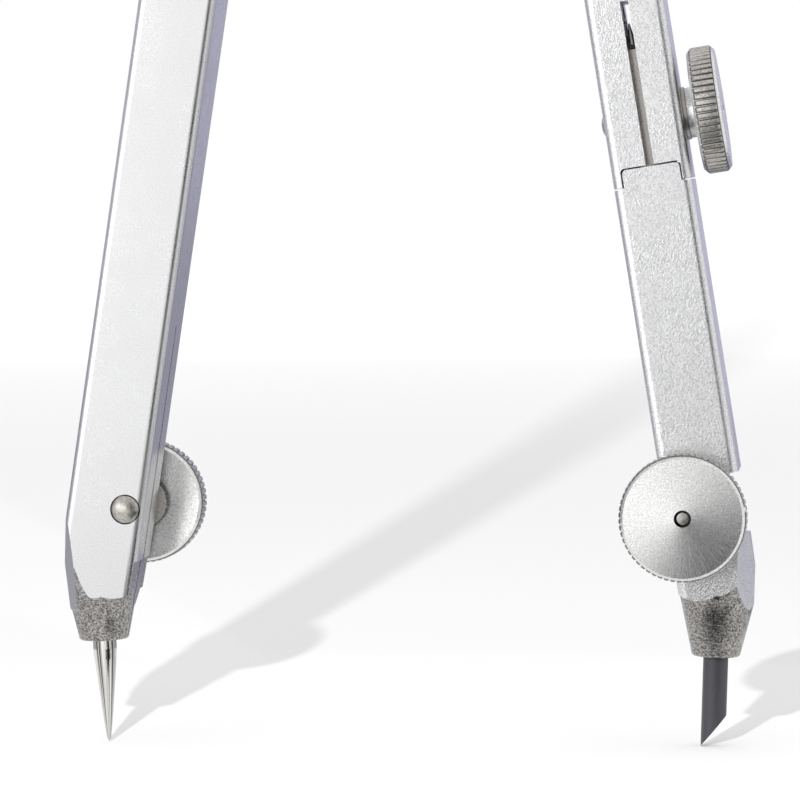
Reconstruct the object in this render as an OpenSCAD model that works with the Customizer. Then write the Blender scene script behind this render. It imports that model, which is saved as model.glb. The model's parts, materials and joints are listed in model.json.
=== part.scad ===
// Drafting compass: a geared head carries two box-section legs. The left leg clamps a
// steel needle in a split nose. The right leg ends in a split socket, which clamps the
// shank of a removable insert, and the insert clamps the lead in a split nose of its own.
// The paper is the plane z = 0, the front is -Y, and the point pair lies along X.

/* [Stance] */
// Angle of each leg to the vertical
leg_tilt = 8.8; // [4:0.1:12]
// Height of the leg pivots above the paper
pivot_h = 139; // [136:0.5:142]
// Half the distance between the two leg pivots
pivot_half = 5.5; // [5.5:5.5]

/* [Legs] */
// Width of a leg, across the compass
leg_w = 6.25; // [6.1:0.05:6.4]
// Depth of a leg, front to back
leg_d = 6.6; // [6.4:0.05:6.8]
// Radius of the long edges
edge_r = 0.7; // [0.4:0.05:0.9]
// Width of the slits that let the noses close
slit = 0.3; // [0.2:0.05:0.4]
// Inward bend of a point's axis from its leg
bend = 10.8; // [9:0.1:11.5]
// Distance down the leg where the point's axis crosses its middle
bend_t = 127.3; // [126.5:0.1:128]

/* [Clamp wheels] */
// Diameter over the knurl
wheel_d = 10.1; // [9.6:0.1:10.4]
// Thickness of the knurled disc
wheel_t = 2.2; // [1.8:0.1:2.4]
// Number of ridges in the knurl
wheel_ridges = 60; // [40:70]
// Depth of the knurl
knurl_depth = 0.2; // [0.1:0.05:0.25]
// Diameter of the clamp studs
stud_d = 1.3; // [1.2:0.05:1.4]

/* [Points] */
// Diameter of the needle
needle_d = 1.9; // [1.7:0.05:2]
// Length of the needle
needle_len = 22; // [20:0.5:23]
// Diameter of the lead
lead_d = 2; // [1.8:0.05:2]
// Length of the lead
lead_len = 19; // [18:0.5:20]
// Height of the needle leg's nose above the tip
needle_out = 8.4; // [7.5:0.1:9]
// Height of the insert's nose above the lead's tip
lead_out = 7.3; // [7:0.1:9]

/* [Head] */
// Teeth on each leg's gear
gear_teeth = 20; // [20:20]
// Radius of the round cheeks about the pivots
plate_r = 8.5; // [8:0.1:8.7]
// Thickness of each head plate
plate_t = 1.85; // [1.6:0.05:2]
// Diameter of the knurled handle
handle_d = 8; // [7.6:0.1:8.4]

/* [Hidden] */
$fn = 48;

LEFT = -1;
RIGHT = 1;
hair = 0.01;            // overlap that joins two shapes of one piece
fit = 0.03;             // radial clearance of a running fit

half_w = leg_w / 2;
half_d = leg_d / 2;

// Head
gap_half = 2.15;        // from the middle to the inner face of a head plate
eye_t = 3.6;            // thickness of a leg's geared eye
eye_gap = 0.02;         // between an eye, its washers and the plates
pivot_r = 1.5;          // pivot screw's shank
pressure = 20;          // pressure angle of the gears
pitch_r = pivot_half;
module_size = 2 * pitch_r / gear_teeth;
outer_r = pitch_r + 0.85 * module_size;
root_r = pitch_r - 1.25 * module_size;
base_r = pitch_r * cos(pressure);
thinning = 0.9;         // degrees that backlash takes off each flank
shoulder_t = 9.5;       // where a leg's full section starts
crown_w = 15;           // width of the plates above the gears
crown_top = 13;         // top of the plates above the pivots
crown_r = 2;
block_base = 7.3;       // bottom of the block above the pivots
rivet_r = 1;
rivet_x = 5;
rivet_z = 10.2;

// Handle
collar_h = 1.6;
grip_base = pivot_h + crown_top + collar_h;
grip_h = 10;
neck_r = handle_d / 2 - 0.4;
neck_h = 4.6;
grip_top = grip_base + grip_h + neck_h;
cap_r = 2.4;
cap_sink = 1.4;
cap_dome = 1.2;
handle_ridges = 36;
handle_stud_r = 1.5;

// Points and noses
lean = bend - leg_tilt;
reach = (pivot_h - bend_t * cos(leg_tilt)) / cos(lean);   // from the crossing to the tip
// Radius of a turned nose and height above the tip, going up from its end
needle_nose = [[2.02, needle_out], [2.5, 10.8], [3.32, 12.05], [3.64, 14.5], [4.6, 16.2], [4.6, 17]];
lead_nose = [[1.95, lead_out], [2.87, 11.4], [3.7, 13.3], [4.6, 15.3], [4.6, 16]];
nose_edge = 0.12;       // chamfer on a nose's end
inner_flat = [[-1.88, 8.4], [-3.3, 14.8]];   // line of the needle nose's inner flat
flat_u = 2.9;           // outer flat of a nose from the point's axis
facet_u = 1.3;          // the facets beside that flat, across the leg
facet_d = 2.9;          // and through it
chip_lean = 4.5;        // how far the needle nose's outer flat leans from the axis
chip_h = 14.6;
arc_w = -1.25;          // centre of the round end of the front and rear faces
arc_t = 125.55;
arc_r = 2.75;
needle_slit_t = 106;
insert_slit_t = 113.5;
point_depth = 0.6;      // bore above a point's top

// Clamps
stud_r = stud_d / 2;
clamp_w = -1.65;        // nose clamps, across the leg from its middle
clamp_t = 121;          // and down the needle leg
insert_clamp_t = 121.4; // and down the insert
head_r = 1.1;
head_bore_r = 1.2;
head_sink = 1.6;        // depth of the stud's head in a nose
socket_head_sink = 0.9; // and in the socket, short of its bore
dome_h = 0.4;
washer_t = 0.25;
washer_r = 2.1;
collar_r = 2;
collar_t = 0.6;
play = 0.04;            // between a washer and the faces beside it
chamfer = 0.36;
wheel_gap = washer_t + 2 * play;
stud_tip_r = 0.47;
stud_tip = 0.5;
stud_recess = 0.35;     // from the stud's end to the wheel's outer face
wheel_face = wheel_gap + collar_t + wheel_t;

// Socket and insert
socket_t = 93.6;        // end of the socket's front and rear faces
cheek_t = 95.1;         // end of the cheeks beside the tongue
cheek_w = 2.4;          // from the middle to a cheek
joint_gap = 0.12;
slot = 0.65;            // width of the socket's slot
slot_top = 80.6;
shank_r = 2;
shank_top = 84;
shank_end = 99.8;       // bottom of the shank in the insert
shank_flat = 0.35;      // the shank's back is cut to here, ahead of its middle
pip = 1.7;              // sharp pip left on the shank's top
pip_front = 1.2;
bore_top = 82;
socket_clamp_t = 90;
socket_clamp_back = 0.55;
notch_top = 118.6;
notch_end = 123.75;
notch_w = 1.6;
notch_r = 0.7;

satin = [0.80, 0.81, 0.82];
steel = [0.70, 0.70, 0.71];
bright = [0.88, 0.88, 0.90];
graphite = [0.24, 0.24, 0.26];

// ---- Frames ----------------------------------------------------------------------

// The frame of the right leg: X outward, -Z down the leg, origin on the pivot
module right_frame() {
    translate([pivot_half, 0, pivot_h]) rotate([0, -leg_tilt, 0]) children();
}

module leg_frame(side) {
    if (side == LEFT) mirror([1, 0, 0]) right_frame() children();
    else right_frame() children();
}

// A point's own frame, inside its leg's frame: Z up the point's axis, origin on its tip
module point_frame() {
    translate([0, 0, -bend_t]) rotate([0, bend, 0]) translate([0, 0, -reach]) children();
}

// A flat outline drawn across the leg (x outward, y up the leg), through its depth
module across(depth) {
    rotate([90, 0, 0]) linear_extrude(depth, center = true) children();
}

// Z of the children points out of the front face, at one place on the leg
module on_front(w, t) {
    translate([w, 0, -t]) rotate([90, 0, 0]) children();
}

module on_rear(w, t) {
    translate([w, 0, -t]) rotate([-90, 0, 0]) children();
}

// Z of the children points out of the outer side, at one distance down the leg
module on_side(t, back) {
    translate([0, back, -t]) rotate([0, 90, 0]) children();
}

// ---- Shared shapes ---------------------------------------------------------------

module rounded_rect(w, d, r) {
    square([w - 2 * r, d], center = true);
    square([w, d - 2 * r], center = true);
    for (x = [-1, 1], y = [-1, 1])
        translate([x * (w / 2 - r), y * (d / 2 - r)]) circle(r);
}

module bar(from, to) {
    translate([0, 0, -to]) linear_extrude(to - from) rounded_rect(leg_w, leg_d, edge_r);
}

// Flat ridges with V grooves between them
function knurl(r, ridges, depth) = [
    for (i = [0 : ridges - 1], p = [[r, -0.27], [r, 0.27], [r - depth, 0.5]])
        p[0] * [cos(360 * (i + p[1]) / ridges), sin(360 * (i + p[1]) / ridges)]
];

// Involute of the base circle, in degrees, and a tooth's half angle at radius r
function involute(a) = tan(a) * 180 / PI - a;
function half_tooth(r) =
    90 / gear_teeth - thinning + involute(pressure) - involute(acos(base_r / r));
function gear_points(phase) =
    let (flank = [base_r, (base_r + pitch_r) / 2, pitch_r, (pitch_r + outer_r) / 2, outer_r])
    [
        for (i = [0 : gear_teeth - 1])
            let (mid = phase + 360 * i / gear_teeth)
            each concat(
                [root_r * [cos(mid - half_tooth(base_r)), sin(mid - half_tooth(base_r))]],
                [for (r = flank) r * [cos(mid - half_tooth(r)), sin(mid - half_tooth(r))]],
                [for (k = [4 : -1 : 0]) let (r = flank[k])
                    r * [cos(mid + half_tooth(r)), sin(mid + half_tooth(r))]],
                [root_r * [cos(mid + half_tooth(base_r)), sin(mid + half_tooth(base_r))]]
            )
    ];

// A leg's geared eye, and the neck that joins it to the full section
module eye(side) {
    phase = side == LEFT ? 0 : 180 / gear_teeth;
    translate([side * pivot_half, 0, pivot_h]) across(eye_t) polygon(gear_points(phase));
    leg_frame(side) translate([-half_w + edge_r, -eye_t / 2, -shoulder_t - 1])
        cube([leg_w - 2 * edge_r, eye_t, shoulder_t - 3]);
}

module pivot_bore(side, r) {
    translate([side * pivot_half, 0, pivot_h]) rotate([90, 0, 0])
        cylinder(h = 30, r = r, center = true);
}

// Outline of a leg's end: straight sides, then the round end of the faces
module blade() {
    translate([-leg_w, -arc_t]) square([2 * leg_w, arc_t]);
    translate([arc_w, -arc_t]) circle(arc_r, $fn = 96);
}

// What is milled off beside a nose: past its outer flat and the two facets
module outer_chip(lean) {
    far = half_d + facet_d;
    point_frame() translate([flat_u, 0, chip_h]) rotate([0, lean, 0])
        translate([-flat_u, 0, -chip_h]) linear_extrude(28) polygon([
            [flat_u - 2 * facet_u, far], [flat_u, half_d - facet_d],
            [flat_u, facet_d - half_d], [flat_u - 2 * facet_u, -far],
            [2 * far, -far], [2 * far, far]
        ]);
}

// What is milled off the needle nose's inner side
module inner_chip() {
    far = 2 * leg_w;
    point_frame() across(far) polygon([
        inner_flat[0], inner_flat[1], [-far, inner_flat[1][1]], [-far, 0], [inner_flat[0][0], 0]
    ]);
}

module nose(profile) {
    end = profile[0];
    point_frame() rotate_extrude() polygon(concat(
        [[0, end[1]], end - [nose_edge, 0], end + [0, nose_edge]],
        [for (k = [1:len(profile) - 1]) profile[k]],
        [[0, profile[len(profile) - 1][1]]]
    ));
}

// A leg's length from one distance down to its split nose, all within the leg's own faces
module split_nose(from, profile, lean, slit_from, point_r, point_top) {
    difference() {
        intersection() {
            bar(from, bend_t + reach);
            union() {
                across(2 * leg_d) blade();
                nose(profile);
            }
        }
        outer_chip(lean);
        point_frame() cylinder(h = point_top + point_depth, r = point_r + fit);
        translate([-leg_w, -slit / 2, -bend_t - reach])
            cube([2 * leg_w, slit, bend_t + reach - slit_from]);
    }
}

// Holes for a nose's clamp stud: plain right through, and a round seat for its head
module clamp_holes(t, head_front) {
    on_front(clamp_w, t) cylinder(h = 2 * leg_d, r = stud_r + 0.05, center = true);
    if (head_front) on_front(clamp_w, t) head_seat(half_d, head_sink);
    else on_rear(clamp_w, t) head_seat(half_d, head_sink);
}

module head_seat(face, sink) {
    translate([0, 0, face - sink - play]) cylinder(h = leg_d, r = head_bore_r);
}

// A clamp stud along Z: low domed head sunk in one face, shank out of the other
module clamp_stud(face_in, face_out, sink = head_sink) {
    tip = face_out + wheel_face - stud_recess;
    dome_r = (head_r * head_r + dome_h * dome_h) / (2 * dome_h);
    translate([0, 0, -face_in]) cylinder(h = sink, r = head_r);
    intersection() {
        translate([0, 0, dome_r - face_in - dome_h]) sphere(dome_r, $fn = 64);
        translate([0, 0, -face_in - dome_h]) cylinder(h = dome_h + hair, r = head_r);
    }
    translate([0, 0, sink - face_in - hair])
        cylinder(h = tip - stud_tip + face_in - sink + hair, r = stud_r);
    translate([0, 0, tip - stud_tip - hair])
        cylinder(h = stud_tip + hair, r1 = stud_r, r2 = stud_tip_r);
}

// The washer and wheel that go on such a stud, with Z = 0 on the leg's face
module clamp_washer() {
    translate([0, 0, play]) difference() {
        cylinder(h = washer_t, r = washer_r);
        translate([0, 0, -1]) cylinder(h = 2 + washer_t, r = stud_r + 0.05);
    }
}

module clamp_wheel() {
    r = wheel_d / 2;
    disc = wheel_gap + collar_t;
    difference() {
        union() {
            translate([0, 0, wheel_gap]) cylinder(h = collar_t + hair, r = collar_r);
            intersection() {
                translate([0, 0, disc]) linear_extrude(wheel_t)
                    polygon(knurl(r, wheel_ridges, knurl_depth));
                translate([0, 0, disc]) rotate_extrude($fn = 96) polygon([
                    [0, 0], [r - chamfer, 0], [r + hair, chamfer + hair],
                    [r + hair, wheel_t - chamfer - hair], [r - chamfer, wheel_t], [0, wheel_t]
                ]);
            }
        }
        cylinder(h = 2 * wheel_face, r = stud_r + fit);
    }
}

// ---- Head ------------------------------------------------------------------------

module plate_outline() {
    difference() {
        union() {
            for (x = [-1, 1]) translate([x * pivot_half, 0]) circle(plate_r, $fn = 96);
            square([2 * pivot_half, 2 * plate_r], center = true);
            translate([0, crown_top / 2]) rounded_rect(crown_w, crown_top, crown_r);
        }
        for (x = [-1, 1]) translate([x * pivot_half, 0]) circle(pivot_r + fit);
        for (x = [-1, 1]) translate([x * rivet_x, rivet_z]) circle(rivet_r + hair);
    }
}

module head_plate(side) {
    color(satin) translate([0, side * (gap_half + plate_t / 2), pivot_h])
        across(plate_t) plate_outline();
}

module head_front_plate() { head_plate(-1); }
module head_rear_plate() { head_plate(1); }

module head_block() {
    color(steel) translate([0, 0, pivot_h]) difference() {
        across(2 * gap_half) translate([-crown_w / 2 + 0.5, block_base])
            square([crown_w - 1, crown_top - block_base]);
        for (x = [-1, 1]) translate([x * rivet_x, 0, rivet_z]) rotate([90, 0, 0])
            cylinder(h = 4 * gap_half, r = rivet_r + hair, center = true);
        cylinder(h = 2 * crown_top, r = handle_stud_r + hair);
    }
}

module plate_rivets() {
    outside = gap_half + plate_t;
    rivet_head = 0.5;
    color(bright) for (x = [-1, 1]) translate([x * rivet_x, 0, pivot_h + rivet_z])
        rotate([90, 0, 0]) {
            cylinder(h = 2 * outside + 2 * hair, r = rivet_r, center = true);
            for (m = [0, 1]) mirror([0, 0, m]) translate([0, 0, outside])
                cylinder(h = rivet_head, r1 = 1.7 * rivet_r, r2 = 1.2 * rivet_r);
        }
}

// A slotted screw from the front, which ends in the nut behind
module pivot_screw(side) {
    outside = gap_half + plate_t;
    screw_head = 1.3;
    color(bright) translate([side * pivot_half, 0, pivot_h]) rotate([90, 0, 0]) difference() {
        union() {
            translate([0, 0, -outside - 1.6]) cylinder(h = 2 * outside + 1.6 + hair, r = pivot_r);
            translate([0, 0, outside]) cylinder(h = screw_head - 0.3, r = 2.9);
            translate([0, 0, outside + screw_head - 0.3 - hair])
                cylinder(h = 0.3, r1 = 2.9, r2 = 2.6);
        }
        translate([-4, -0.3, outside + 0.6]) cube([8, 0.6, 2]);
    }
}

module pivot_screw_left() { pivot_screw(LEFT); }
module pivot_screw_right() { pivot_screw(RIGHT); }

module pivot_nuts() {
    outside = gap_half + plate_t;
    color(bright) for (side = [LEFT, RIGHT])
        translate([side * pivot_half, outside, pivot_h]) rotate([-90, 0, 0]) difference() {
            cylinder(h = 1.8, r = 3.1, $fn = 6);
            translate([0, 0, -1]) cylinder(h = 4, r = pivot_r + hair);
        }
}

// One washer on each side of each eye
module friction_washers() {
    thick = gap_half - eye_t / 2 - 2 * eye_gap;
    color("peru") for (side = [LEFT, RIGHT], face = [-1, 1])
        translate([side * pivot_half, face * (eye_t / 2 + eye_gap + thick / 2), pivot_h])
            rotate([90, 0, 0]) difference() {
                cylinder(h = thick, r = 4.2, center = true);
                cylinder(h = 1, r = pivot_r + fit, center = true);
            }
}

// ---- Handle ----------------------------------------------------------------------

module handle_collar() {
    color(satin) translate([0, 0, pivot_h + crown_top]) difference() {
        rotate_extrude() polygon([
            [0, 0], [5.2, 0], [5.2, 0.5 * collar_h], [handle_d / 2 - 0.3, collar_h], [0, collar_h]
        ]);
        translate([0, 0, -1]) cylinder(h = 4, r = handle_stud_r + hair);
    }
}

module handle_stud() {
    color(steel) translate([0, 0, pivot_h + block_base + 0.5])
        cylinder(h = grip_top - 0.4 - pivot_h - block_base - 0.5, r = handle_stud_r);
}

module handle_grip() {
    color(satin) translate([0, 0, grip_base]) difference() {
        union() {
            intersection() {
                linear_extrude(grip_h)
                    polygon(knurl(handle_d / 2, handle_ridges, knurl_depth));
                rotate_extrude() polygon([
                    [0, 0], [handle_d / 2 - 0.4, 0], [handle_d / 2 + hair, 0.4],
                    [handle_d / 2 + hair, grip_h - 0.4], [handle_d / 2 - 0.4, grip_h], [0, grip_h]
                ]);
            }
            cylinder(h = grip_h + neck_h, r = neck_r);
        }
        translate([0, 0, -1]) cylinder(h = 30, r = handle_stud_r + hair);
        translate([0, 0, grip_h + neck_h - cap_sink]) cylinder(h = 4, r = cap_r + 0.1);
    }
}

// Domed nut that holds the grip on its stud
module handle_cap() {
    dome_r = (cap_r * cap_r + cap_dome * cap_dome) / (2 * cap_dome);
    color(bright) translate([0, 0, grip_top - cap_sink]) difference() {
        intersection() {
            cylinder(h = cap_sink + cap_dome, r = cap_r);
            translate([0, 0, cap_sink + cap_dome - dome_r]) sphere(dome_r, $fn = 64);
        }
        translate([0, 0, -1]) cylinder(h = cap_sink - 0.3 + 1, r = handle_stud_r + hair);
    }
}

// ---- Needle leg ------------------------------------------------------------------

module needle_leg() {
    color(satin) difference() {
        union() {
            eye(LEFT);
            leg_frame(LEFT) {
                bar(shoulder_t, needle_slit_t - 5 + hair);
                split_nose(needle_slit_t - 5, needle_nose, chip_lean, needle_slit_t, needle_d / 2,
                    needle_len);
            }
        }
        pivot_bore(LEFT, pivot_r + fit + hair);
        leg_frame(LEFT) {
            inner_chip();
            clamp_holes(clamp_t, true);
        }
    }
}

module needle_clamp_stud() {
    color(bright) leg_frame(LEFT) on_rear(clamp_w, clamp_t) clamp_stud(half_d, half_d);
}

module needle_clamp_washer() {
    color(steel) leg_frame(LEFT) on_rear(clamp_w, clamp_t) translate([0, 0, half_d]) clamp_washer();
}

module needle_clamp_wheel() {
    color(steel) leg_frame(LEFT) on_rear(clamp_w, clamp_t) translate([0, 0, half_d]) clamp_wheel();
}

// Ground taper with a fine point
module needle() {
    r = needle_d / 2;
    color(bright) leg_frame(LEFT) point_frame() rotate_extrude() polygon([
        [0, 0], [0.16, 0.3], [0.42, 2.3], [0.93 * r, 6.75], [r, 7.6],
        [r, needle_len - 0.4], [r - 0.4, needle_len], [0, needle_len]
    ]);
}

// ---- Socket leg ------------------------------------------------------------------

// The insert's tongue, with round upper corners, grown by a gap on every side
module tongue(gap) {
    r = 0.35;
    half = cheek_w - joint_gap + gap;
    top = socket_t + joint_gap - gap;
    translate([-half, -cheek_t - 2]) square([2 * half, cheek_t + 2 - top - r]);
    translate([-half + r, -cheek_t - 2]) square([2 * (half - r), cheek_t + 2 - top]);
    for (x = [-1, 1]) translate([x * (half - r), -top - r]) circle(r);
}

module socket_leg() {
    color(satin) difference() {
        union() {
            eye(RIGHT);
            leg_frame(RIGHT) bar(shoulder_t, cheek_t);
        }
        pivot_bore(RIGHT, pivot_r + fit + hair);
        leg_frame(RIGHT) {
            across(2 * leg_d) tongue(joint_gap);
            translate([-slot / 2, -leg_d, -cheek_t]) cube([slot, 2 * leg_d, cheek_t - slot_top]);
            translate([0, 0, -cheek_t]) cylinder(h = cheek_t - bore_top, r = shank_r + fit);
            translate([0, 0, -bore_top - hair]) cylinder(h = shank_r, r1 = shank_r + fit, r2 = 0);
            on_side(socket_clamp_t, socket_clamp_back) {
                cylinder(h = 2 * leg_w, r = stud_r + 0.05, center = true);
                mirror([0, 0, 1]) head_seat(half_w, socket_head_sink);
            }
        }
    }
}

module socket_clamp_stud() {
    color(bright) leg_frame(RIGHT) on_side(socket_clamp_t, socket_clamp_back)
        clamp_stud(half_w, half_w, socket_head_sink);
}

module socket_clamp_washer() {
    color(steel) leg_frame(RIGHT) on_side(socket_clamp_t, socket_clamp_back)
        translate([0, 0, half_w]) clamp_washer();
}

module socket_clamp_wheel() {
    color(steel) leg_frame(RIGHT) on_side(socket_clamp_t, socket_clamp_back)
        translate([0, 0, half_w]) clamp_wheel();
}

// ---- Lead insert -----------------------------------------------------------------

// Relief on the outer side, where the bore for the lead comes out
module notch() {
    far = 2 * leg_w;
    translate([notch_w + notch_r, -notch_end]) square([far, notch_end - notch_top]);
    translate([notch_w, notch_r - notch_end]) square([far, notch_end - notch_top - 2 * notch_r]);
    for (t = [notch_top + notch_r, notch_end - notch_r])
        translate([notch_w + notch_r, -t]) circle(notch_r);
}

module lead_insert() {
    shoulder = cheek_t + joint_gap;
    color(satin) leg_frame(RIGHT) difference() {
        union() {
            intersection() {
                bar(socket_t, shoulder + 1);
                across(2 * leg_d) tongue(0);
            }
            bar(shoulder, insert_slit_t - 5 + hair);
            split_nose(insert_slit_t - 5, lead_nose, 0, insert_slit_t, lead_d / 2, lead_len);
        }
        across(2 * leg_d) notch();
        clamp_holes(insert_clamp_t, false);
        translate([0, 0, -shank_end - 0.2]) cylinder(h = 20, r = shank_r + hair);
    }
}

// Round shank with its back cut flat, so that it passes the socket's clamp stud
module insert_shank() {
    bevel = 0.4;
    color(steel) leg_frame(RIGHT) difference() {
        union() {
            translate([0, 0, -shank_end]) cylinder(h = shank_end - shank_top - bevel, r = shank_r);
            translate([0, 0, -shank_top - bevel - hair])
                cylinder(h = bevel + hair, r1 = shank_r, r2 = shank_r - bevel);
            translate([0, -pip_front, -shank_top - hair]) cylinder(h = pip, r1 = 0.36, r2 = 0.06);
        }
        translate([-leg_w, -shank_flat, -socket_t]) cube([2 * leg_w, leg_d, 2 * leg_w]);
    }
}

module lead_clamp_stud() {
    color(bright) leg_frame(RIGHT) on_front(clamp_w, insert_clamp_t) clamp_stud(half_d, half_d);
}

module lead_clamp_washer() {
    color(steel) leg_frame(RIGHT) on_front(clamp_w, insert_clamp_t) translate([0, 0, half_d]) clamp_washer();
}

module lead_clamp_wheel() {
    color(steel) leg_frame(RIGHT) on_front(clamp_w, insert_clamp_t) translate([0, 0, half_d]) clamp_wheel();
}

// A rod of lead, sanded to a chisel that faces outward
module lead() {
    r = lead_d / 2;
    chisel = 51.6;
    far = 4 * r;
    color(graphite) leg_frame(RIGHT) point_frame() difference() {
        cylinder(h = lead_len, r = r);
        across(far) polygon([
            [-r, 0], [r, 2 * r * tan(chisel)], [far, far * tan(chisel)], [far, -far], [-r, -far]
        ]);
    }
}

head_front_plate();
head_rear_plate();
head_block();
plate_rivets();
pivot_screw_left();
pivot_screw_right();
pivot_nuts();
friction_washers();
handle_collar();
handle_stud();
handle_grip();
handle_cap();
needle_leg();
needle_clamp_stud();
needle_clamp_washer();
needle_clamp_wheel();
needle();
socket_leg();
socket_clamp_stud();
socket_clamp_washer();
socket_clamp_wheel();
lead_insert();
insert_shank();
lead_clamp_stud();
lead_clamp_washer();
lead_clamp_wheel();
lead();
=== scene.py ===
"""Drafting compass: finishes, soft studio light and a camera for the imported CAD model."""
import json
import math

import bpy
from mathutils import Euler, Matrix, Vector


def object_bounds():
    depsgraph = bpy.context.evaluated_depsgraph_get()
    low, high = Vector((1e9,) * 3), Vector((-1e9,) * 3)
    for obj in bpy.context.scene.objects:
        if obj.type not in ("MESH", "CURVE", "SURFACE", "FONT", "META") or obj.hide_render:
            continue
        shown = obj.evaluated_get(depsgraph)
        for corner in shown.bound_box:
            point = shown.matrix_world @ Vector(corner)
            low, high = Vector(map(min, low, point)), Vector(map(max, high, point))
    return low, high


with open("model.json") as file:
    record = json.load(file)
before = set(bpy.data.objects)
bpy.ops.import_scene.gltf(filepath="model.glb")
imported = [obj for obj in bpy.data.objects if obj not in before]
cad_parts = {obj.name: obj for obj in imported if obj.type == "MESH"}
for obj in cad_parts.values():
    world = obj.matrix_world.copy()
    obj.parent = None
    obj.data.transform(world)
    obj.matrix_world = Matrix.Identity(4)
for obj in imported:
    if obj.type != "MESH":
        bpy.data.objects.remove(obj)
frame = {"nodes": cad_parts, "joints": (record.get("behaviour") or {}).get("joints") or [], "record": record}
cad_low, cad_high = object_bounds()
nodes = frame["nodes"]
joints = {j["name"]: j for j in frame["joints"]}
mounts = {m["name"]: m for m in frame["record"]["mounts"]}

MM = 0.001


def hinge_axis(name):
    """A point on a hinge's axis, and its direction, in metres."""
    joint = joints[name]
    return Vector(joint["pos_m"]), Vector(joint["axis"]).normalized()


def mount_axis(name):
    mount = mounts[name]
    return Vector(mount["pos_m"]), Vector(mount["axis"]).normalized()


# ---- Camera ----------------------------------------------------------------------

CAMERA_PLACE = Vector((37.8, -316.5, 46.2)) * MM
CAMERA_TURN = (-3.32, 0.35, 5.46)  # pitch, roll and yaw in degrees, away from +Y
CAMERA_LENS = 178.9
CAMERA_SHIFT = -0.125


def make_camera():
    data = bpy.data.cameras.new("camera")
    data.lens = CAMERA_LENS
    data.sensor_width = 36
    data.shift_x = CAMERA_SHIFT
    data.clip_start, data.clip_end = 0.01, 20
    camera = bpy.data.objects.new("camera", data)
    pitch, roll, yaw = (math.radians(a) for a in CAMERA_TURN)
    camera.location = CAMERA_PLACE
    camera.rotation_euler = (
        Euler((0, 0, yaw)).to_matrix()
        @ Euler((pitch, 0, 0)).to_matrix()
        @ Euler((0, roll, 0)).to_matrix()
        @ Euler((math.pi / 2, 0, 0)).to_matrix()
    ).to_euler()
    bpy.context.collection.objects.link(camera)
    bpy.context.scene.camera = camera


make_camera()


# ---- Node helpers ----------------------------------------------------------------


class Shader:
    """One material's node tree, with a short way to make each kind of node."""

    def __init__(self, name, **sockets):
        self.material = bpy.data.materials.new(name)
        self.material.use_nodes = True
        self.tree = self.material.node_tree
        self.surface = self.tree.nodes["Principled BSDF"]
        for socket, value in sockets.items():
            self.surface.inputs[socket.replace("_", " ")].default_value = value
        self.place = self.node("ShaderNodeTexCoord").outputs["Object"]

    def node(self, kind, **settings):
        made = self.tree.nodes.new(kind)
        for key, value in settings.items():
            setattr(made, key, value)
        return made

    def feed(self, socket, value):
        if hasattr(value, "is_output"):
            self.tree.links.new(value, socket)
        else:
            socket.default_value = value

    def maths(self, operation, a, b=0.0, c=0.0):
        made = self.node("ShaderNodeMath", operation=operation)
        for socket, value in zip(made.inputs, (a, b, c)):
            self.feed(socket, value)
        return made.outputs[0]

    def vector(self, operation, a, b=(0, 0, 0)):
        made = self.node("ShaderNodeVectorMath", operation=operation)
        self.feed(made.inputs[0], a)
        self.feed(made.inputs[1], b)
        return made.outputs["Value" if operation in ("LENGTH", "DOT_PRODUCT") else "Vector"]

    def between(self, value, low, high, out_low=0.0, out_high=1.0):
        made = self.node("ShaderNodeMapRange", interpolation_type="SMOOTHSTEP")
        for socket, v in zip(made.inputs, (value, low, high, out_low, out_high)):
            self.feed(socket, v)
        return made.outputs[0]

    def noise(self, size, where=None, detail=3.0, roughness=0.6):
        """Noise whose features are about size metres across."""
        made = self.node("ShaderNodeTexNoise")
        self.feed(made.inputs["Vector"], where or self.place)
        made.inputs["Scale"].default_value = 1 / size
        made.inputs["Detail"].default_value = detail
        made.inputs["Roughness"].default_value = roughness
        return made.outputs[0]

    def mix(self, share, a, b):
        made = self.node("ShaderNodeMix", data_type="RGBA")
        self.feed(made.inputs[0], share)
        self.feed(made.inputs[6], a)
        self.feed(made.inputs[7], b)
        return made.outputs[2]

    def colour(self, value):
        self.feed(self.surface.inputs["Base Color"], value)

    def rough(self, value):
        self.feed(self.surface.inputs["Roughness"], value)

    def bump(self, height, depth, after=None):
        """Adds a bump depth metres high where height goes from 0 to 1."""
        made = self.node("ShaderNodeBump")
        made.inputs["Distance"].default_value = depth
        self.feed(made.inputs["Height"], height)
        if after is not None:
            self.feed(made.inputs["Normal"], after)
        self.feed(self.surface.inputs["Normal"], made.outputs[0])
        return made.outputs[0]

    def around(self, point, axis):
        """Distance along an axis, distance from it, and the angle round it in turns."""
        from_point = self.vector("SUBTRACT", self.place, tuple(point))
        along = self.vector("DOT_PRODUCT", from_point, tuple(axis))
        side = axis.orthogonal().normalized()
        other = axis.cross(side)
        x = self.vector("DOT_PRODUCT", from_point, tuple(side))
        y = self.vector("DOT_PRODUCT", from_point, tuple(other))
        away = self.maths("SQRT", self.maths("ADD", self.maths("MULTIPLY", x, x),
                                             self.maths("MULTIPLY", y, y)))
        turn = self.maths("DIVIDE", self.maths("ARCTAN2", y, x), math.tau)
        return along, away, turn

    def combine(self, x, y, z):
        made = self.node("ShaderNodeCombineXYZ")
        for socket, value in zip(made.inputs, (x, y, z)):
            self.feed(socket, value)
        return made.outputs[0]


# ---- Materials -------------------------------------------------------------------


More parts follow.
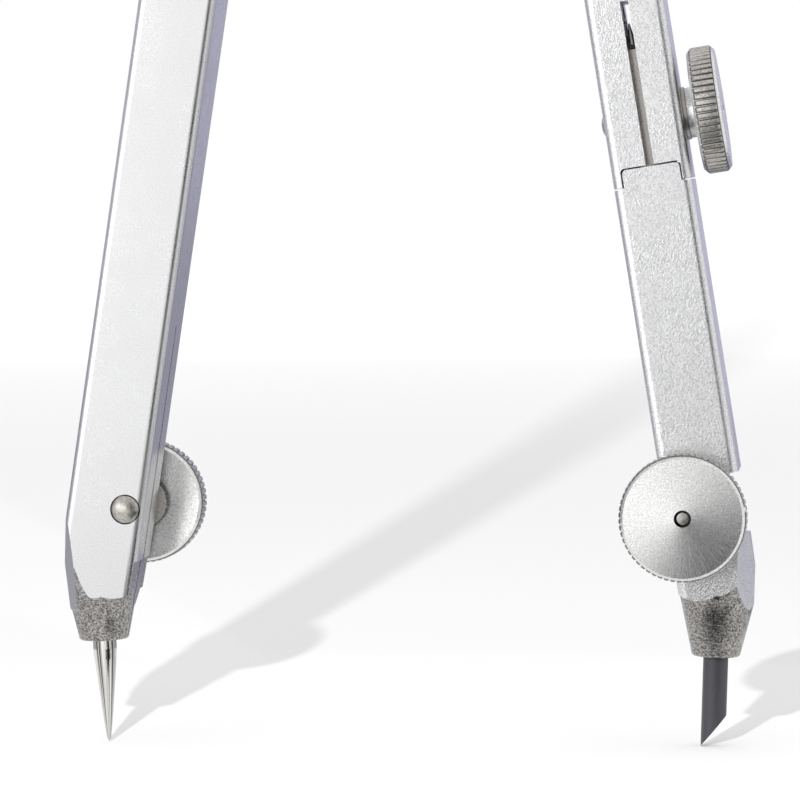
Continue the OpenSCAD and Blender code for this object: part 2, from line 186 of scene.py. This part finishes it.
def satin_chrome(name, low, high, size, depth):
    """Bead-blasted plating: pits size metres across, and slow changes in its sheen."""
    s = Shader(name, Metallic=1.0)
    blast = s.noise(size, detail=3.0, roughness=0.65)
    cloud = s.noise(5 * MM, detail=2.0)
    pits = s.between(blast, 0.34, 0.60)
    s.colour(s.mix(pits, (low, low, 1.01 * low, 1), (high, high, 1.01 * high, 1)))
    s.rough(s.maths("ADD", s.between(cloud, 0.3, 0.7, 0.28, 0.35),
                    s.maths("MULTIPLY", pits, -0.04)))
    s.bump(blast, depth)
    return s.material


def turned_nose(name, point, axis):
    """Bare turned metal of a nose: tool rings round the point's axis, and dark specks, partly the metal's
    pits and partly painted shade that darkens the nose.
    """
    s = Shader(name, Metallic=1.0)
    along, away, turn = s.around(point, axis)
    rings = s.noise(0.16 * MM, s.combine(along, s.maths("MULTIPLY", turn, 1.2 * MM), 0.0),
                    detail=3.0)
    pits_and_painted_shade = s.noise(0.16 * MM, detail=4.0, roughness=0.75)
    # partly painted shade: the dark specks make the nose darker overall as well as standing for its pits
    dark = s.between(pits_and_painted_shade, 0.40, 0.60)
    s.colour(s.mix(dark, (0.10, 0.09, 0.08, 1), (0.46, 0.45, 0.44, 1)))
    s.rough(s.between(rings, 0.3, 0.7, 0.20, 0.30))
    first = s.bump(rings, 0.012 * MM)
    s.bump(pits_and_painted_shade, 0.010 * MM, first)
    return s.material


def turned_face(name, point, axis, dish):
    """A wheel's faced side: concentric cuts, fine specks, and a middle raised by dish."""
    s = Shader(name, Metallic=1.0, Anisotropic=0.3)
    along, away, turn = s.around(point, axis)
    cuts = s.noise(0.05 * MM, s.combine(away, s.maths("MULTIPLY", turn, 1.0 * MM), 0.0), detail=2.0)
    streaks = s.noise(0.16 * MM, s.combine(s.maths("MULTIPLY", turn, 24 * MM),
                                           s.maths("MULTIPLY", away, 0.10), 0.0), detail=3.0)
    specks = s.noise(0.14 * MM, detail=4.0, roughness=0.75)
    tone = s.between(specks, 0.38, 0.60)
    s.colour(s.mix(tone, (0.60, 0.60, 0.59, 1), (0.82, 0.82, 0.81, 1)))
    s.rough(s.between(streaks, 0.35, 0.65, 0.23, 0.28))
    around = s.node("ShaderNodeVectorMath", operation="CROSS_PRODUCT")
    s.feed(around.inputs[0], tuple(axis))
    s.feed(around.inputs[1], s.vector("SUBTRACT", s.place, tuple(point)))
    s.feed(s.surface.inputs["Tangent"], s.vector("NORMALIZE", around.outputs[0]))
    crown = s.bump(s.maths("MULTIPLY", away, -dish), 1.0)
    first = s.bump(cuts, 0.0015 * MM, crown)
    second = s.bump(streaks, 0.0003 * MM, first)
    s.bump(specks, 0.0045 * MM, second)
    return s.material


def knurled(name, point, axis, ridge_r, depth):
    """Knurl: lighter ridges, and painted shade down in the grooves."""
    s = Shader(name, Metallic=1.0)
    along, away, turn = s.around(point, axis)
    # painted shade: the colour darkens from the ridges down into the knurl's grooves
    groove_shade_mask = s.between(away, ridge_r - 0.7 * depth, ridge_r - 0.05 * depth)
    grain = s.noise(0.12 * MM, detail=4.0, roughness=0.7)
    tone = s.maths("MULTIPLY", groove_shade_mask, s.between(grain, 0.35, 0.6, 0.35, 1.0))
    s.colour(s.mix(tone, (0.09, 0.08, 0.07, 1), (0.60, 0.58, 0.55, 1)))
    s.rough(s.between(grain, 0.3, 0.7, 0.26, 0.42))
    s.bump(grain, 0.016 * MM)
    return s.material


def plain_steel(name):
    s = Shader(name, Metallic=1.0)
    grain = s.noise(0.2 * MM, detail=4.0)
    s.colour(s.mix(grain, (0.26, 0.24, 0.22, 1), (0.52, 0.50, 0.48, 1)))
    s.rough(s.between(grain, 0.3, 0.7, 0.26, 0.40))
    s.bump(grain, 0.003 * MM)
    return s.material


def polished_steel(name):
    s = Shader(name, Metallic=1.0)
    haze = s.noise(0.5 * MM, detail=5.0, roughness=0.7)
    s.colour(s.mix(s.between(haze, 0.35, 0.65), (0.50, 0.49, 0.47, 1), (0.64, 0.63, 0.61, 1)))
    s.rough(s.between(haze, 0.3, 0.7, 0.12, 0.22))
    s.bump(haze, 0.002 * MM)
    return s.material


def stud_dome(name):
    """A stud's tumbled head: warm grey, and hardly shiny."""
    s = Shader(name, Metallic=1.0)
    grain = s.noise(0.25 * MM, detail=4.0, roughness=0.7)
    s.colour(s.mix(s.between(grain, 0.35, 0.65), (0.34, 0.33, 0.29, 1), (0.52, 0.51, 0.47, 1)))
    s.rough(s.between(grain, 0.3, 0.7, 0.26, 0.40))
    s.bump(grain, 0.010 * MM)
    return s.material


def ground_needle(name, point, axis):
    """Ground steel: fine scratches, and light and dark stripes along the needle that are painted reflection.
    """
    s = Shader(name, Metallic=1.0)
    along, away, turn = s.around(point, axis)
    lines = s.noise(0.30 * MM, s.combine(s.maths("MULTIPLY", turn, 6 * MM),
                                         s.maths("MULTIPLY", along, 0.006), 0.0), detail=2.0)
    fine = s.noise(0.06 * MM, s.combine(s.maths("MULTIPLY", turn, 6 * MM),
                                        s.maths("MULTIPLY", along, 0.02), 0.0), detail=3.0)
    # painted reflection: strong light and dark stripes along the needle, with the fine scratches in them
    reflection_and_scratch_stripes = s.maths("MULTIPLY", s.between(lines, 0.40, 0.52), s.between(fine, 0.3, 0.6, 0.7, 1.0))
    s.colour(s.mix(reflection_and_scratch_stripes, (0.10, 0.095, 0.09, 1), (0.80, 0.79, 0.77, 1)))
    s.rough(s.between(fine, 0.3, 0.7, 0.08, 0.18))
    s.bump(fine, 0.002 * MM)
    return s.material


def graphite(name, point, axis):
    """Pressed graphite with a soft sheen and fine draw lines along the lead."""
    s = Shader(name, Metallic=0.0, Specular_IOR_Level=0.55)
    along, away, turn = s.around(point, axis)
    lines = s.noise(0.10 * MM, s.combine(s.maths("MULTIPLY", turn, 6 * MM),
                                         s.maths("MULTIPLY", along, 0.04), 0.0), detail=3.0)
    grain = s.noise(0.12 * MM, detail=4.0, roughness=0.7)
    s.colour(s.mix(grain, (0.012, 0.011, 0.015, 1), (0.042, 0.040, 0.047, 1)))
    s.rough(s.between(grain, 0.3, 0.7, 0.30, 0.46))
    first = s.bump(lines, 0.006 * MM)
    s.bump(grain, 0.010 * MM, first)
    return s.material


def bronze(name):
    s = Shader(name, Metallic=1.0)
    patina = s.noise(0.6 * MM, detail=4.0)
    s.colour(s.mix(patina, (0.28, 0.16, 0.08, 1), (0.72, 0.50, 0.26, 1)))
    s.rough(s.between(patina, 0.3, 0.7, 0.30, 0.48))
    s.bump(patina, 0.004 * MM)
    return s.material


# ---- Dressing the CAD nodes ------------------------------------------------------


def dress(node, *materials, pick=None):
    """Gives a node its materials; pick(centre, normal) says which one each face takes."""
    mesh = nodes[node].data
    mesh.materials.clear()
    for material in materials:
        mesh.materials.append(material)
    for face in mesh.polygons:
        face.material_index = pick(face.center, face.normal) if pick else 0


def soften(node, width, angle=24):
    """Breaks a node's sharp edges with a small round, as tumbling does on the real piece."""
    piece = nodes[node]
    weld = piece.modifiers.new("weld", "WELD")
    weld.merge_threshold = 0.001 * MM
    flat = piece.modifiers.new("flat", "DECIMATE")
    flat.decimate_type = "DISSOLVE"
    flat.angle_limit = math.radians(0.4)
    flat.delimit = {"MATERIAL"}
    bevel = piece.modifiers.new("edge", "BEVEL")
    bevel.width = width
    bevel.segments = 2
    bevel.limit_method = "ANGLE"
    bevel.angle_limit = math.radians(angle)
    bevel.use_clamp_overlap = True
    bevel.miter_outer = "MITER_ARC"
    shade = piece.modifiers.new("shade", "WEIGHTED_NORMAL")
    shade.mode = "FACE_AREA"
    shade.weight = 100
    shade.keep_sharp = True
    for face in piece.data.polygons:
        face.use_smooth = True


def nose_picker(point, axis, top):
    """Faces of a nose's cone: those that look down along its axis, or lie round it, below top."""
    def pick(centre, normal):
        height = -(centre - point).dot(axis)
        tilt = normal.dot(axis)
        return 1 if height < top and 0.08 < tilt < 0.9 else 0
    return pick


NOSE_TOP = 16 * MM  # how far up from its tip a nose is bare metal
smooth_satin = satin_chrome("smooth_satin", 0.52, 0.61, 0.11 * MM, 0.006 * MM)
grained_satin = satin_chrome("grained_satin", 0.56, 0.78, 0.13 * MM, 0.028 * MM)
steel = plain_steel("plain_steel")
polished = polished_steel("polished_steel")
dome = stud_dome("stud_dome")

needle_tip, needle_axis = mount_axis("needle_point")
lead_tip, lead_axis = mount_axis("lead_point")

dress("needle_leg", smooth_satin, turned_nose("needle_nose", needle_tip, needle_axis),
      pick=nose_picker(needle_tip, needle_axis, NOSE_TOP))
dress("lead_insert", grained_satin, turned_nose("lead_nose", lead_tip, lead_axis),
      pick=nose_picker(lead_tip, lead_axis, NOSE_TOP))
dress("socket_leg", grained_satin)
dress("needle", ground_needle("ground_needle", needle_tip, needle_axis))
dress("lead", graphite("graphite", lead_tip, lead_axis))

KNURL_DEPTH = 0.2 * MM
WHEEL_R = 5.05 * MM  # over the knurl
WHEEL_RIM = 4.9 * MM  # where the bevel gives way to the knurl's teeth
WHEEL_DISH = 0.075  # slope of a wheel's face away from its middle
for wheel, hinge in (("needle_clamp_wheel", "needle_wheel_turn"),
                     ("socket_clamp_wheel", "socket_wheel_turn"),
                     ("lead_clamp_wheel", "lead_wheel_turn")):
    centre, axis = hinge_axis(hinge)
    dish = -WHEEL_DISH if wheel == "needle_clamp_wheel" else WHEEL_DISH
    dress(wheel, turned_face(wheel + "_face", centre, axis, dish),
          knurled(wheel + "_knurl", centre, axis, WHEEL_R, KNURL_DEPTH),
          pick=lambda c, n, p=centre, a=axis: int(
              abs(n.dot(a)) < 0.9 and (c - p - (c - p).dot(a) * a).length > WHEEL_RIM))

for node in ("needle_clamp_stud", "socket_clamp_stud", "lead_clamp_stud"):
    dress(node, dome)
for node in ("plate_rivets", "pivot_screw_left", "pivot_screw_right", "pivot_nuts",
             "handle_cap"):
    dress(node, polished)
for node in ("needle_clamp_washer", "socket_clamp_washer", "lead_clamp_washer",
             "insert_shank", "head_block", "handle_stud"):
    dress(node, steel)
for node in ("head_front_plate", "head_rear_plate", "handle_collar"):
    dress(node, smooth_satin)
dress("friction_washers", bronze("bronze"))

HANDLE_R = 4 * MM
HANDLE_NECK = 3.65 * MM  # just outside the plain neck above the knurl
handle_point, handle_axis = mount_axis("handle")
handle_knurl = knurled("handle_knurl", handle_point, handle_axis, HANDLE_R, KNURL_DEPTH)
dress("handle_grip", smooth_satin, handle_knurl,
      pick=lambda c, n: int(abs(n.z) < 0.9 and Vector((c.x, c.y)).length > HANDLE_NECK))

for node in ("needle_leg", "socket_leg", "lead_insert"):
    soften(node, 0.07 * MM)
for node in ("needle_clamp_wheel", "socket_clamp_wheel", "lead_clamp_wheel", "handle_grip"):
    soften(node, 0.025 * MM, 20)
for node in ("head_front_plate", "head_rear_plate", "handle_collar"):
    soften(node, 0.15 * MM)
for node in ("needle_clamp_stud", "socket_clamp_stud", "lead_clamp_stud", "pivot_nuts",
             "pivot_screw_left", "pivot_screw_right", "plate_rivets", "insert_shank"):
    soften(node, 0.05 * MM)


# ---- Studio ----------------------------------------------------------------------

TARGET = Vector((0, 0, 45)) * MM
PAPER = Vector((0, 0, cad_low.z))
PAPER_HALF = 6.0  # half the paper's width
PAPER_NEAR = 0.15  # the paper's painted light is weakest, and its colour darkest, within this distance of the compass
PAPER_FAR = 1.0  # and white beyond this one, so that it has no horizon
CARD_RISE = 0.4 * MM  # how far the cards' lower edges clear the paper
MAT_RISE = 0.3 * MM
CARD_NEAR, CARD_FAR, CARD_TOP = 0.06, 0.65, 0.45


def towards(azimuth, elevation, distance, centre=TARGET):
    """A place seen from centre: azimuth to its right and elevation up, in degrees."""
    a, e = math.radians(azimuth), math.radians(elevation)
    return centre + distance * Vector((math.sin(a) * math.cos(e), -math.cos(a) * math.cos(e),
                                       math.sin(e)))


def softbox(name, azimuth, elevation, distance, width, height, power):
    """A wide soft lamp that faces the compass, for the broad light on its front."""
    data = bpy.data.lights.new(name, "AREA")
    data.shape = "RECTANGLE"
    data.size, data.size_y = width, height
    data.energy = power
    lamp = bpy.data.objects.new(name, data)
    lamp.location = towards(azimuth, elevation, distance)
    lamp.rotation_euler = (lamp.location - TARGET).to_track_quat("Z", "Y").to_euler()
    lamp.visible_camera = False
    bpy.context.collection.objects.link(lamp)


def bare_bulb(name, azimuth, elevation, distance, power, radius):
    """A small near lamp whose shadows spread; it doesn't fade, and the metal doesn't mirror it."""
    data = bpy.data.lights.new(name, "POINT")
    data.energy = power
    data.shadow_soft_size = radius
    data.use_nodes = True
    tree = data.node_tree
    fade = tree.nodes.new("ShaderNodeLightFalloff")
    fade.inputs["Strength"].default_value = 1.0
    tree.links.new(fade.outputs["Constant"], tree.nodes["Emission"].inputs["Strength"])
    lamp = bpy.data.objects.new(name, data)
    lamp.location = towards(azimuth, elevation, distance, PAPER)
    lamp.visible_glossy = False
    bpy.context.collection.objects.link(lamp)


def stage_card(name, mesh):
    """Puts a card in the scene that only the metal sees."""
    card = bpy.data.objects.new(name, mesh)
    card.visible_camera = False
    card.visible_shadow = False
    card.visible_diffuse = False
    bpy.context.collection.objects.link(card)


def screen(name, start, end, near, far, height, grey):
    """A card bent round the compass, floor and wall in one, seen only in the metal."""
    s = Shader(name, Roughness=1.0, Specular_IOR_Level=0.0, Base_Color=(*grey, 1))
    steps = 12
    points = []
    for k in range(steps + 1):
        a = math.radians(start + (end - start) * k / steps)
        out = Vector((math.sin(a), -math.cos(a), 0))
        up = Vector((0, 0, cad_low.z + CARD_RISE))
        points += [out * near + up, out * far + up, out * far + Vector((0, 0, height))]
    faces = []
    for k in range(0, 3 * steps, 3):
        faces += [(k, k + 1, k + 4, k + 3), (k + 1, k + 2, k + 5, k + 4)]
    mesh = bpy.data.meshes.new(name)
    mesh.from_pydata([tuple(p) for p in points], [], faces)
    mesh.materials.append(s.material)
    stage_card(name, mesh)


def mat(name, low, high, grey):
    """A card on the paper in front of the points, seen only in the metal; sizes in mm."""
    s = Shader(name, Roughness=1.0, Specular_IOR_Level=0.0, Base_Color=(*grey, 1))
    z = cad_low.z + MAT_RISE
    corners = [(low[0], low[1]), (high[0], low[1]), (high[0], high[1]), (low[0], high[1])]
    mesh = bpy.data.meshes.new(name)
    mesh.from_pydata([(x * MM, y * MM, z) for x, y in corners], [], [(0, 1, 2, 3)])
    mesh.materials.append(s.material)
    stage_card(name, mesh)


def make_floor():
    """Pale paper with painted light: its colour goes from grey near the compass to white away from it."""
    s = Shader("paper", Roughness=0.9, Specular_IOR_Level=0.2)
    away = s.vector("LENGTH", s.place)
    # painted light: the far paper is made lighter in colour in place of light reaching it
    s.colour(s.mix(s.between(away, PAPER_NEAR, PAPER_FAR), (0.78, 0.78, 0.78, 1), (1, 1, 1, 1)))
    mesh = bpy.data.meshes.new("paper")
    r = PAPER_HALF
    mesh.from_pydata([(-r, -r, 0), (r, -r, 0), (r, r, 0), (-r, r, 0)], [], [(0, 1, 2, 3)])
    mesh.materials.append(s.material)
    floor = bpy.data.objects.new("paper", mesh)
    floor.location = PAPER
    bpy.context.collection.objects.link(floor)


def make_world():
    world = bpy.data.worlds.new("studio")
    world.use_nodes = True
    back = world.node_tree.nodes["Background"]
    back.inputs["Color"].default_value = (1.0, 1.0, 1.0, 1)
    back.inputs["Strength"].default_value = 1.0
    bpy.context.scene.world = world


make_floor()
make_world()
bare_bulb("key", -4.6, 22, 0.263, 36, 0.003)
softbox("left", -38, 8, 1.0, 0.9, 0.5, 2.6)
screen("front_right", 10.5, 44, 0.05, CARD_FAR, CARD_TOP, (0.04, 0.04, 0.045))
mat("nose_mat", (-17, -42), (60, -14), (0.03, 0.03, 0.03))
screen("back_right", 116, 200, CARD_NEAR, CARD_FAR, CARD_TOP, (0.31, 0.31, 0.39))
screen("left_side", -150, -75, CARD_NEAR, CARD_FAR, CARD_TOP, (0.34, 0.34, 0.38))

scene = bpy.context.scene
scene.view_settings.view_transform = "Standard"
scene.view_settings.exposure = 0.0
